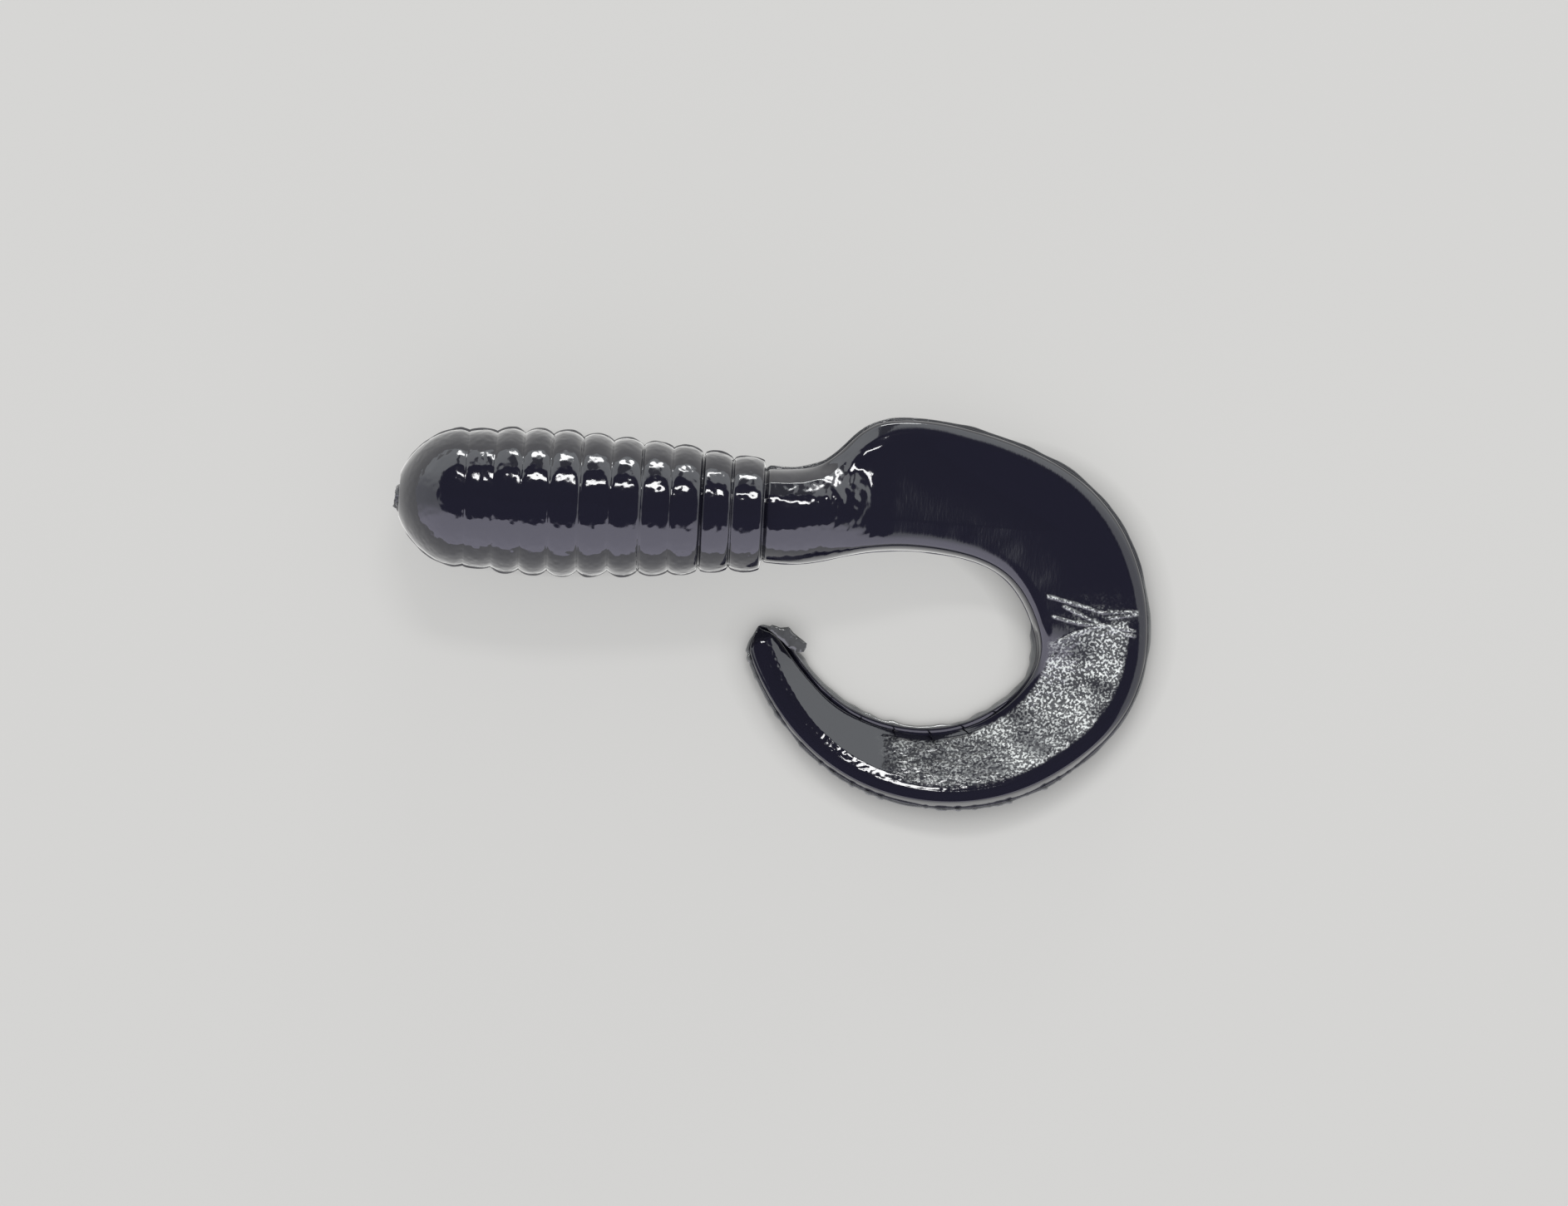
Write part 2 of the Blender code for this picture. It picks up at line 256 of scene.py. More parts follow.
def smoothLine(knots, rows):
    # natural cubic spline through rows at increasing knots, read at any number of places
    x = np.array(knots, float)
    y = np.array(rows, float).reshape(len(x), -1)
    gap = np.diff(x)
    matrix = np.diag(2 * (gap[:-1] + gap[1:])) + np.diag(gap[1:-1], 1) + np.diag(gap[1:-1], -1)
    slope = np.diff(y, axis=0) / gap[:, None]
    bend = np.zeros_like(y)
    bend[1:-1] = np.linalg.solve(matrix, 6 * np.diff(slope, axis=0))

    def read(places):
        p = np.atleast_1d(np.asarray(places, float))
        i = np.clip(np.searchsorted(x, p) - 1, 0, len(x) - 2)
        h = gap[i][:, None]
        b = ((p - x[i]) / gap[i])[:, None]
        a = 1 - b
        cubic = ((a**3 - a) * bend[i] + (b**3 - b) * bend[i + 1]) * h * h / 6
        return a * y[i] + b * y[i + 1] + cubic

    return read


def smoothStep(low, high, value):
    t = np.clip((value - low) / (high - low), 0, 1)
    return t * t * (3 - 2 * t)


def hump(value, width):
    return np.exp(-((value / width) ** 2))


tilted = np.array([[0.8, 0.6, 0.0], [-0.48, 0.64, 0.6], [0.36, -0.48, 0.8]])  # lattice off the axes


def grain(points, size, seed=0):
    # smooth random values from -1 to 1, in humps of about the given size in mm
    p = np.asarray(points) @ tilted / size + 31.7 * seed
    cell = np.floor(p).astype(np.int64)
    part = p - cell
    part = part * part * (3 - 2 * part)
    total = np.zeros(p.shape[:-1])
    for corner in itertools.product((0, 1), repeat=3):
        c = cell + corner
        mixed = ((c[..., 0] * 73856093) ^ (c[..., 1] * 19349663) ^ (c[..., 2] * 83492791)) & 0xFFFFFFFF
        mixed = ((mixed ^ (mixed >> 13)) * 1274126177) & 0xFFFFFFFF
        mixed = ((mixed ^ (mixed >> 15)) * 1103515245) & 0xFFFFFFFF
        value = (mixed ^ (mixed >> 16)) / 2**31 - 1
        total += value * np.prod(np.where(corner, part, 1 - part), axis=-1)
    return total


ends = [nodeBox(name) for name in bodyNodes + ["neck"]]
grooves = np.array([(a[1].x + b[0].x) / 2 - seat.x for a, b in zip(ends, ends[1:])])
crests = [box[1].z - seat.z for box in ends[1:-1]]
domeRadius = ends[0][1].z - seat.z
ribMiddles = list((grooves[:-1] + grooves[1:]) / 2)
crestAt = smoothLine(
    [grooves[0] - 1] + ribMiddles + [grooves[-1] + 1], [domeRadius] + crests + [crests[-1] - 0.1]
)

sectionPoints = 14  # how finely a cross-section of the CAD's tail is read, edge to edge
chamfer = {"width": 1.00, "drop": 0.45, "turn": 10}  # of the tail's outer edge, as in the CAD


def endPlanes(name, heading):
    # middle and facing of the two flat ends of a stretch of the tail
    planes = []
    for sign in (-1, 1):
        faces = [f for f in frame["nodes"][name].data.polygons if f.normal.dot(heading) * sign > 0.8]
        area = sum(f.area for f in faces)
        middle = sum((f.center * f.area for f in faces), Vector()) / area / mm
        facing = sum((f.normal * f.area for f in faces), Vector()).normalized()
        planes.append((middle, facing * sign))
    return planes


def middleOf(name):
    corners = frame["nodes"][name].data.vertices
    return sum((v.co for v in corners), Vector()) / len(corners) / mm


def chamferFall(fromOuter, width, bend=1.2):
    outwards = 1 - np.minimum(1, fromOuter / np.minimum(chamfer["width"], 0.4 * width))
    side = np.sqrt(np.maximum(0, 1 - outwards ** chamfer["turn"]))
    return (1 - chamfer["drop"] * outwards**bend) * side


knownTurns = math.pi * np.arange(1, sectionPoints) / sectionPoints
knownShares = (1 - np.cos(knownTurns)) / 2


def cutSection(name, point, direction):
    # inner edge, outer edge and half thicknesses where a plane crosses a CAD node
    bm = bmesh.new()
    bm.from_mesh(frame["nodes"][name].data)
    parts = bm.verts[:] + bm.edges[:] + bm.faces[:]
    cut = bmesh.ops.bisect_plane(bm, geom=parts, plane_co=point * mm, plane_no=direction)
    outline = [v.co / mm for v in cut["geom_cut"] if isinstance(v, bmesh.types.BMVert)]
    bm.free()
    sideways = Vector((0, 0, 1)).cross(direction).normalized()
    outer = max(outline, key=sideways.dot)
    inner = min(outline, key=sideways.dot)
    across = (outer - inner).normalized()
    up = direction.cross(across).normalized()
    width = (outer - inner).length
    upper = [p - inner for p in outline if (p - inner).dot(up) > 0.01]
    top = sorted((p.dot(across) / width, p.dot(up)) for p in upper)
    turns = np.arccos(np.clip(1 - 2 * np.array([share for share, height in top]), -1, 1))
    half = np.interp(knownTurns, [0, *turns, math.pi], [0, *(height for share, height in top), 0])
    return [*outer, *inner, *half]


def measureTail():
    # stations along the tail, read off its CAD nodes in order
    stations = []
    shares = {"neck": (0.03, 0.35, 0.7, 0.97), "tail_shoulder": (0.03, 0.25, 0.5, 0.75, 0.97)}
    for before, name, after in zip(["neck"] + tailNodes, tailNodes, tailNodes[1:] + ["tail_tip"]):
        heading = (middleOf(after) - middleOf(before)).normalized()
        if name == "tail_tip":
            reach = [(v.co / mm).dot(heading) for v in frame["nodes"][name].data.vertices]
            middle = middleOf(name)
            for share in (0.15, 0.5, 0.8, 0.95):
                level = min(reach) + share * (max(reach) - min(reach))
                stations.append(cutSection(name, middle + heading * (level - middle.dot(heading)), heading))
            continue
        (startAt, startFacing), (endAt, endFacing) = endPlanes(name, heading)
        for share in shares.get(name, (0.5,)):
            facing = startFacing.lerp(endFacing, share).normalized()
            stations.append(cutSection(name, startAt.lerp(endAt, share), facing))
    return np.array(stations)


sections = measureTail()
sections[0, [0, 3]] = seat.x + grooves[-1]  # the neck starts at the last groove
sectionMiddles = (sections[:, 0:3] + sections[:, 3:6]) / 2
steps = np.linalg.norm(np.diff(sectionMiddles, axis=0), axis=1)
sectionLengths = np.concatenate([[0], np.cumsum(steps)])
tailEdges = smoothLine(sectionLengths, sections[:, :6])
sectionWidths = np.linalg.norm(sections[:, 0:3] - sections[:, 3:6], axis=1)
falls = chamferFall((1 - knownShares)[None, :] * sectionWidths[:, None], sectionWidths[:, None])
tailHalves = smoothLine(sectionLengths, sections[:, 6:] / falls)
tipEnd = sectionLengths[-1] + 0.12


def lengthNear(x, y):
    # how far along the tail's middle line the point x, y behind the nose seat lies
    places = np.linspace(0, tipEnd, 3000)
    edges = tailEdges(places)
    middle = (edges[:, 0:2] + edges[:, 3:5]) / 2 - seat.xy
    return float(places[np.argmin(np.hypot(middle[:, 0] - x, middle[:, 1] - y))])


tailBreaks = [lengthNear(*(middleOf(name) - seat).xy) for name in tailNodes[1:-1]]
print("tail measured:", len(sections), "sections,", round(tipEnd, 1), "mm")

# ---- surface of the body: dome, ribs, grooves and the scar of the gate

body = {
    "rowsPerMm": 16,
    "around": 360,
    # groove by groove, dome to neck: relief facing up and down, relief at the sides, sharp crack
    "topDepths": (0.020, 0.004, 0.008, 0.022, 0.035, 0.030, 0.050, 0.035, 0.090, 0.070, 0.100),
    "sideDepths": (0.12, 0.24, 0.33, 0.36, 0.38, 0.36, 0.34, 0.30, 0.30, 0.30, 0.30),
    "cracks": (0.025, 0.004, 0.010, 0.030, 0.040, 0.020, 0.070, 0.030, 0.30, 0.12, 0.55),
    "crackWidth": 0.07,
    "topPower": 5.0,  # more makes a rib's crest flatter and its grooves narrower
    "sidePower": 2.3,
    "sideTurns": (1.5, 3.2),  # towards +Y and -Y; more keeps the deep relief closer to that side
    "ledge": 0.11,  # the lower half of the mould stands out this much at the parting line
    "waveHeight": 0.018,
    "wave": 1.0,
    "dimpleHeight": 0.012,
    "dimple": 0.30,
}

nose = {
    "domeLength": 4.00,
    "domeReach": 4.35,
    "domePower": 1.8,
    "faceRadius": 1.50,  # flat left by the trimmed gate
    "scarRadius": 0.80,
    "scarProud": 0.30,
    "scarAside": -0.20,
    "nib": (-0.98, -0.05, 0.24, 0.20),  # y, z, radius and height of the torn corner
    "faceRows": 26,
}


def bodyRadius(x, turn):
    side = np.abs(np.sin(turn)) ** np.where(np.sin(turn) < 0, *body["sideTurns"])
    power = body["topPower"] + (body["sidePower"] - body["topPower"]) * np.abs(np.sin(turn))
    rib = np.clip(np.searchsorted(grooves, x) - 1, 0, len(grooves) - 2)
    share = np.clip(2 * (x - grooves[rib]) / (grooves[rib + 1] - grooves[rib]) - 1, -1, 1)
    nearest = rib + (share > 0)
    top = np.array(body["topDepths"])[nearest]
    depth = top + (np.array(body["sideDepths"])[nearest] - top) * side
    radius = crestAt(x.ravel()).reshape(x.shape) - depth * np.abs(share) ** power
    ahead = np.clip((nose["domeLength"] - x) / nose["domeReach"], 0, 0.999)
    dome = domeRadius * (1 - ahead ** nose["domePower"]) ** (1 / nose["domePower"])
    lip = (body["topDepths"][0] + (body["sideDepths"][0] - body["topDepths"][0]) * side)
    drop = lip + (domeRadius - crestAt(grooves[:1])[0, 0])
    dome = dome - drop * smoothStep(grooves[0] - 0.8, grooves[0], x) ** 2
    radius = np.where(x < grooves[0], dome, radius)
    for place, crack in zip(grooves, body["cracks"]):
        radius = radius - crack * hump(x - place, body["crackWidth"])
    return radius


def unevenness(place):
    waves = body["waveHeight"] * grain(place, body["wave"], 1)
    return waves + body["dimpleHeight"] * grain(place, body["dimple"], 2)


def bodySurface():
    # rings from the middle of the gate's flat, over the dome, to the groove at the neck
    rings = round(grooves[-1] * body["rowsPerMm"])
    x = np.concatenate([np.zeros(nose["faceRows"]), grooves[-1] * (np.arange(rings + 2) / rings) ** 1.08])
    turn = np.tile(math.tau * np.arange(body["around"]) / body["around"], (len(x), 1))
    x = np.tile(x[:, None], (1, body["around"]))
    radius = bodyRadius(x, turn)
    face = nose["faceRows"]
    radius[:face] = nose["faceRadius"] * ((np.arange(face) + 0.5) / face)[:, None]
    outwards = np.stack([np.zeros_like(x), -np.sin(turn), np.cos(turn)], axis=-1)
    place = outwards * radius[..., None]
    place[..., 0] = x
    settled = smoothStep(0.0, 0.8, x)
    rough = unevenness(place)
    below = -np.cos(turn) * radius
    ledge = body["ledge"] * smoothStep(0, 0.09, below) * hump(np.maximum(below, 0), 1.5)
    ledge = ledge * (0.9 + 0.5 * grain(place, 0.9, 3))
    place += outwards * ((rough + ledge) * settled)[..., None]
    y, z = place[..., 1], place[..., 2]
    torn = grain(place, 0.35, 4) + 0.6 * grain(place, 0.14, 5)
    fromScar = np.hypot(y - nose["scarAside"], z)
    scar = 1 - smoothStep(nose["scarRadius"] - 0.12, nose["scarRadius"] + 0.12, fromScar + 0.12 * torn)
    nibY, nibZ, nibRadius, nibHeight = nose["nib"]
    nib = nibHeight * hump(np.hypot(y - nibY, z - nibZ), nibRadius)
    onFace = 1 - smoothStep(nose["faceRadius"] - 0.1, nose["faceRadius"] + 0.2, radius) * (x >= 0)
    place[..., 0] -= onFace * (scar * (nose["scarProud"] + 0.05 * torn) + nib + 0.015 * torn)
    # the gate's scar is a little rough, with a little painted sparkle in its colour
    marks = {"frostAndGlints": scar * onFace * 0.15, "film": nib * onFace}
    return place + np.array(seat), marks, x[:, 0]


# ---- surface of the tail: blade, outer rim, creases, frosted patch and edge film, with painted sparkle and glints

tail = {
    "rowsPerMm": 14,
    "topPoints": 132,
    "bottomPoints": 60,
    "filmPoints": 4,
    "waveHeight": 0.008,
    "wave": 1.3,
    "neckRough": 1.6,  # how uneven the neck is, next to the body
    "neckEnds": (5, 9),  # mm along the tail where that fades
    "crestBend": 1.33,  # more rounds the rim's crest
    "tipRound": 1.3,
}

film = {  # thin flash squeezed out between the mould's halves
    "half": 0.035,
    "outerWidth": 0.16,
    "innerWidth": 0.05,
    "innerCurlWidth": 0.34,
    "beadHeight": 0.07,
    "bead": 0.34,
    "beadsFrom": (47, -15),  # beads along the outer edge grow between these two places
    "beadsTo": (42, -18),
}

frostAndGlints = {  # where the mould's surface was rough; its colour there also gets painted sparkle
    "from": (47.4, -6.3),
    "to": (42.1, -15.6),
    "marksTo": (34.0, -16.4),
    "height": 0.065,
    "grain": 0.30,
    "innerBand": 1.05,
    "outerBand": 1.30,
    "streaks": (0.50, 0.24),  # size of the coarse and fine streaks past the patch
    "streakStretch": (0.4, 1, 1),
    "streakHeight": 0.09,
}

crease = {  # wrinkles where the tail is folded, mm behind the nose seat and towards +Y
    "lines": (
        ((43.98, -4.15), (45.92, -4.66), (47.87, -5.22), (48.59, -5.13), (50.16, -5.04)),
        ((45.14, -4.82), (46.59, -5.52), (47.80, -6.07), (50.07, -6.39)),
        ((44.45, -5.53), (45.60, -5.86), (46.62, -6.03), (47.81, -6.13)),
        ((45.06, -7.30), (46.15, -6.67), (47.25, -6.27), (47.92, -6.12)),
        ((47.29, -6.89), (48.44, -6.43), (50.09, -6.73)),
        ((48.39, -5.53), (50.17, -5.20)),
    ),
    "width": 0.080,
    "height": 0.080,
    "jag": 0.02,
    "uneven": 0.7,
    "frostedAndGlinting": (47.6, -5.8),  # middle of the faintly frosted folds, whose colour is also painted lighter
    "frostReach": 1.7,
    "frostAndGlints": 0.45,
}

rim = {  # the outer rim past the frosted patch has a flat top and a jagged foot
    "foot": 1.65,
    "crest": 1.0,
    "flatten": 0.20,
    "lean": 0.095,
    "leanMore": 0.07,  # added round this place, within this many mm
    "leanMoreAt": (38.0, -16.0),
    "leanMoreReach": 3.5,
    "jag": 0.020,
    "jagFrom": (34, -17),  # the foot gets fully jagged between these two places
    "jagTo": (31, -16),
}

gutter = {"from": (43.6, -5.5), "place": 0.15, "width": 0.09, "depth": 1.5}
shoulderWrinkles = {"at": (29.7, 2.5), "size": (1.9, 1.6), "height": 0.045, "grain": 0.30}


def tailColumns():
    # across a ring: over the top from the inner edge out, round the film, back below, round the inner film
    def across(points):
        t = np.linspace(0, 1, points + 1)
        return 0.5 * t + 0.25 * (1 - np.cos(math.pi * t))

    count = tail["filmPoints"]
    outwards = np.concatenate([np.arange(1, count + 1), np.arange(count - 1, 0, -1)]) / count
    sides = np.sign(np.arange(count - 1, -count, -1))
    top, bottom = across(tail["topPoints"]), across(tail["bottomPoints"])[::-1]
    flat = np.zeros(len(outwards))
    share = np.concatenate([top, flat + 1, bottom, flat])
    side = np.concatenate([top * 0 + 1, sides, bottom * 0 - 1, -sides])
    outer = np.concatenate([top * 0, outwards, bottom * 0, flat])
    inner = np.concatenate([top * 0, flat, bottom * 0, outwards])
    return share, side, outer, inner


def lineDistance(place, line):
    # distance of points from a line of stretches, seen from above
    nearest = np.full(place.shape[:-1], 1e9)
    for a, b in zip(line, line[1:]):
        a, b = np.array(a), np.array(b)
        t = np.clip(((place[..., :2] - a) @ (b - a)) / ((b - a) @ (b - a)), 0, 1)
        nearest = np.minimum(nearest, np.linalg.norm(place[..., :2] - a - t[..., None] * (b - a), axis=-1))
    return nearest


shoulder = {  # the round neck runs out over the blade in a long slope
    "from": (28.0, 33.0),  # where it sets in, mm behind the nose seat
    "crest": (28.2, 3.12),  # a place on its crest, and its height above the body's axis there
    "slope": 0.335,
    "aside": (0.2, 0.22),  # from here towards +Y it falls off this steeply
    "ends": (-12, -6),  # it fades out between these towards -Y
    "rim": (0.3, 1.7),  # mm from the outer edge within which it leaves the rim alone
    "edge": 1.35,  # rounding along the inner edge
    "soft": 0.30,
}


def shoulderFill(place, top, fromInner, fromOuter):
    x, y = place[..., 0], place[..., 1]
    (crestX, crest), (sideY, fall) = shoulder["crest"], shoulder["aside"]
    target = crest - shoulder["slope"] * (x - crestX) - fall * np.maximum(0, y - sideY)
    over = target - top
    raised = 0.5 * (over + np.sqrt(over**2 + shoulder["soft"] ** 2))
    fill = raised * smoothStep(*shoulder["from"], x)
    edge = np.clip(fromInner / shoulder["edge"], 0, 1)
    rimKept = smoothStep(*shoulder["rim"], fromOuter)
    return fill * np.sqrt(1 - (1 - edge) ** 2) * rimKept * smoothStep(*shoulder["ends"], y)


def tailRelief(place, top, length, fromInner, width):
    # what the top face adds to the CAD's shape, in mm, and how frosted it is, a mark that also paints
    # sparkle and glints into its colour
    fromOuter = width - fromInner
    start, end = lengthNear(*frostAndGlints["from"]), lengthNear(*frostAndGlints["to"])
    marksEnd = lengthNear(*frostAndGlints["marksTo"])
    inside = smoothStep(frostAndGlints["innerBand"] - 0.3, frostAndGlints["innerBand"] + 0.1, fromInner)
    inside = inside * smoothStep(frostAndGlints["outerBand"] - 0.1, frostAndGlints["outerBand"] + 0.2, fromOuter)
    patch = smoothStep(start - 0.2, start + 0.5, length)
    patch = patch * (1 - smoothStep(end - 1.0, end + 1.5, length)) * inside
    patchy = np.clip(0.75 + 1.0 * grain(place * (0.7, 1, 1), 1.1, 6), 0.22, 1)
    grains = grain(place, frostAndGlints["grain"], 7) + 0.7 * grain(place, frostAndGlints["grain"] * 0.5, 8)
    relief = tail["waveHeight"] * grain(place, tail["wave"], 9)
    relief = relief + shoulderFill(place, top, fromInner, fromOuter)
    relief += frostAndGlints["height"] * patch * patchy * grains
    relief += tail["neckRough"] * unevenness(place) * (1 - smoothStep(*tail["neckEnds"], length))
    marks = smoothStep(end - 2.0, end, length)
    marks = marks * (1 - smoothStep(marksEnd - 1.5, marksEnd + 1, length)) * inside
    stretched = place * frostAndGlints["streakStretch"]
    coarse, fine = (np.abs(grain(stretched, size, 10 + n)) for n, size in enumerate(frostAndGlints["streaks"]))
    streaks = coarse + 0.6 * fine
    relief += frostAndGlints["streakHeight"] * marks * streaks
    # painted highlight: the crease ridges also go into the frost mark, which paints them lighter like
    # glints
    glint = 0
    for number, line in enumerate(crease["lines"]):
        aside = lineDistance(place, line) + crease["jag"] * grain(place, 0.3, 12 + number)
        ridge = hump(aside, crease["width"])
        relief += crease["height"] * ridge * (1 + crease["uneven"] * grain(place, 0.7, 22 + number))
        glint = np.maximum(glint, ridge)
    # the folds are rougher and are painted lighter grey
    foldX, foldY = crease["frostedAndGlinting"]
    fromFold = np.hypot(place[..., 0] - foldX, 1.6 * (place[..., 1] - foldY))
    folded = crease["frostAndGlints"] * hump(fromFold, crease["frostReach"]) * np.abs(grain(place, 0.4, 33))
    past = smoothStep(end - 6.0, end - 1.0, length)
    jagGrows = smoothStep(lengthNear(*rim["jagFrom"]), lengthNear(*rim["jagTo"]), length)
    jagged = rim["jag"] * (0.3 + 0.7 * jagGrows)
    foot = fromOuter - rim["foot"] + 3 * jagged * grain(place, 0.22, 20)
    toCrest = np.clip(-foot, 0, rim["foot"] - rim["crest"])
    fromSteepest = length - lengthNear(*rim["leanMoreAt"])
    lean = rim["lean"] + rim["leanMore"] * hump(fromSteepest, rim["leanMoreReach"])
    relief += past * (lean * np.clip(fromInner - width / 2, -3, 3) - rim["flatten"] * toCrest)
    curl = smoothStep(lengthNear(*gutter["from"]) - 0.5, lengthNear(*gutter["from"]) + 1.0, length)
    wrinkleX, wrinkleY = shoulderWrinkles["at"]
    sizeX, sizeY = shoulderWrinkles["size"]
    fromWrinkles = np.hypot((place[..., 0] - wrinkleX) / sizeX, (place[..., 1] - wrinkleY) / sizeY)
    wrinkled = hump(fromWrinkles, 1.0)
    comb = grain(place * (1, 0.5, 0.5), shoulderWrinkles["grain"], 21)
    relief += shoulderWrinkles["height"] * wrinkled * comb
    relief *= smoothStep(0, 0.2, fromOuter)
    # the mark roughens and bumps the surface and also paints it lighter: sparkle on the patch and streaks,
    # glints on the crease ridges
    frostedAndGlinting = patch * patchy + marks * (0.12 + 0.5 * streaks) + glint + folded
    return relief, np.clip(frostedAndGlinting, 0, 1), curl


def tailSurface(lengths):
    share, side, outerShare, innerShare = tailColumns()
    edges = tailEdges(lengths)
    outer, inner = edges[:, None, 0:3], edges[:, None, 3:6]
    width = np.linalg.norm(outer - inner, axis=-1)
    across = (outer - inner) / width[..., None]
    ahead = tailEdges(lengths + 0.05) - tailEdges(lengths - 0.05)
    along = ahead[:, None, 0:3] + ahead[:, None, 3:6]
    up = np.cross(along, across)
    up /= np.linalg.norm(up, axis=-1)[..., None]
    fromInner = share[None, :] * width
    turn = np.arccos(1 - 2 * share)
    halves = tailHalves(lengths)
    knots = [0, *knownTurns, math.pi]
    column = smoothLine(knots, np.vstack([halves[:, 0] * 0, halves.T, halves[:, -1]]))(turn).T
    half = np.maximum(column, 0) * chamferFall(width - fromInner, width, tail["crestBend"])
    left = np.clip((tipEnd - lengths) / tail["tipRound"], 0, 1)[:, None]
    squeeze = np.sqrt(1 - (1 - left) ** 2)
    neckLip = 1 - 0.06 * hump(lengths, 0.16)[:, None]
    half = half * squeeze * neckLip

    middle = (outer + inner) / 2
    place = middle + across * ((share[None, :] - 0.5) * width * squeeze * neckLip)[..., None]
    here = place - np.array(seat)
    long = np.tile(lengths[:, None], (1, len(share)))
    relief, frostedAndGlinting, curl = tailRelief(here, here[..., 2] + half, long, fromInner, width)
    runs = np.stack([long, long * 0, long * 0], axis=-1) + (outerShare > 0)[None, :, None] * 50
    flow = grain(runs, 1.1, 30)
    beads = np.clip(grain(here, film["bead"], 31) * 1.6, 0, 1)
    lower = smoothStep(lengthNear(*film["beadsFrom"]), lengthNear(*film["beadsTo"]), long)
    innerWidth = film["innerWidth"] + (film["innerCurlWidth"] - film["innerWidth"]) * curl
    filmWidth = outerShare * film["outerWidth"] * (1 + 0.5 * flow + 0.8 * beads * lower)
    filmWidth = filmWidth - innerShare * innerWidth * (1 + 0.35 * flow)
    filmWidth *= np.sqrt(squeeze)
    filmHalf = film["half"] + film["beadHeight"] * beads * (0.25 + 0.75 * lower) * (outerShare > 0)
    beyond = outerShare + innerShare
    filmHalf = filmHalf * np.sqrt(np.maximum(0, 1 - beyond**2))[None, :] * np.sqrt(squeeze)
    half = np.sqrt(half**2 + filmHalf**2)
    groove = hump(fromInner - gutter["place"], gutter["width"])
    dip = gutter["depth"] * np.minimum(half, 0.25) * groove * curl
    lift = np.where((side > 0) & (beyond == 0), relief - dip, 0) * np.sqrt(squeeze)
    place = place + across * filmWidth[..., None] + up * (half * side[None, :] + lift)[..., None]
    filmMark = np.broadcast_to((beyond > 0)[None, :], long.shape) * (0.35 + 0.65 * curl)
    return place, {"frostAndGlints": frostedAndGlinting * (side > 0), "film": filmMark}


# ---- pieces: closed lengths of skin, each across one joint


def surfaceNormals(place):
    along = np.gradient(place, axis=0)
    around = np.roll(place, -1, axis=1) - np.roll(place, 1, axis=1)
    normal = np.cross(along, around)
    outwards = (normal * (place - place.mean(axis=1, keepdims=True))).sum()
    normal *= math.copysign(1, outwards)
    return normal / np.maximum(np.linalg.norm(normal, axis=-1), 1e-12)[..., None]


def makeSkin(name, place, normals, marks):
    # rolls a grid into a tube, closes its ends and lays it on the surface's points
    rings, count = place.shape[:2]
    bm = bmesh.new()
    ringMark, columnMark = bm.verts.layers.int.new("ring"), bm.verts.layers.int.new("column")
    bmesh.ops.create_grid(bm, x_segments=count, y_segments=rings - 1, size=0.5)
    for v in bm.verts:
        column, ring = round((v.co.x + 0.5) * count) % count, round((v.co.y + 0.5) * (rings - 1))
        turn = math.tau * column / count
        v.co = (math.cos(turn), math.sin(turn), ring)
        v[ringMark], v[columnMark] = ring, column
    bmesh.ops.remove_doubles(bm, verts=bm.verts, dist=1e-4)
    openEdges = [e for e in bm.edges if e.is_boundary]
    caps = bmesh.ops.holes_fill(bm, edges=openEdges, sides=0)["faces"]
    for v in bmesh.ops.poke(bm, faces=caps)["verts"]:
        v[ringMark], v[columnMark] = (0 if v.co.z < 0.5 else rings - 1), count
    bmesh.ops.recalc_face_normals(bm, faces=bm.faces)
    mesh = bpy.data.meshes.new(name)
    bm.to_mesh(mesh)
    bm.free()
    ring, column = (np.array([d.value for d in mesh.attributes[key].data]) for key in ("ring", "column"))
    place = np.concatenate([place, place.mean(axis=1, keepdims=True)], axis=1)
    normals = np.concatenate([normals, normals[:, :1] * 0], axis=1)
    mesh.vertices.foreach_set("co", (place[ring, column] * mm).ravel())
    mesh.attributes.remove(mesh.attributes["ring"])
    mesh.attributes.remove(mesh.attributes["column"])
    for key, values in marks.items():
        values = np.concatenate([values, values[:, :1]], axis=1)
        mark = mesh.attributes.new(key, "FLOAT", "POINT")
        mark.data.foreach_set("value", values[ring, column].astype(float))
    mesh.update()
    seen = normals[ring, column]
    agree = sum(Vector(seen[f.vertices[0]]).dot(f.normal) for f in itertools.islice(mesh.polygons, 400))
    if agree < 0:
        mesh.flip_normals()
    mesh.shade_smooth()
    mesh.normals_split_custom_set_from_vertices(seen.tolist())
    piece = bpy.data.objects.new(name, mesh)
    bpy.context.scene.collection.objects.link(piece)
    mesh.materials.append(plastisol)
    return piece


def blendAcross(piece, firstRing, lastRing):
    # bakes a piece's transform into its mesh; the line between its end rings is worked out but not used
    base = firstRing.mean(axis=0)
    along = lastRing.mean(axis=0) - base
    along /= np.linalg.norm(along)
    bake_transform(piece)


plastic = {
    "black": (0.006, 0.006, 0.010),
    "film": (0.17, 0.175, 0.17),
    "cloudSize": 0.9,
    "roughness": 0.07,
    "frostRoughness": 0.20,
    "paintedSparkle": (0.70, 0.73, 0.72),  # painted sparkle: light grains painted into the frosted patch's colour, in place of glints
    "paintedSparkleSize": 0.17,
    "paintedSparkleRange": (0.50, 0.60),
    "paintedSparkleBase": 0.10,
    "grainSize": 0.09,
    "grainHeight": 0.0012,
    "frostSize": 0.12,
    "frostHeight": 0.012,
    "combSize": 0.16,  # fine ripples that run round the body
    "combStretch": (1, 0.22, 0.22),
    "combHeight": 0.0025,
}


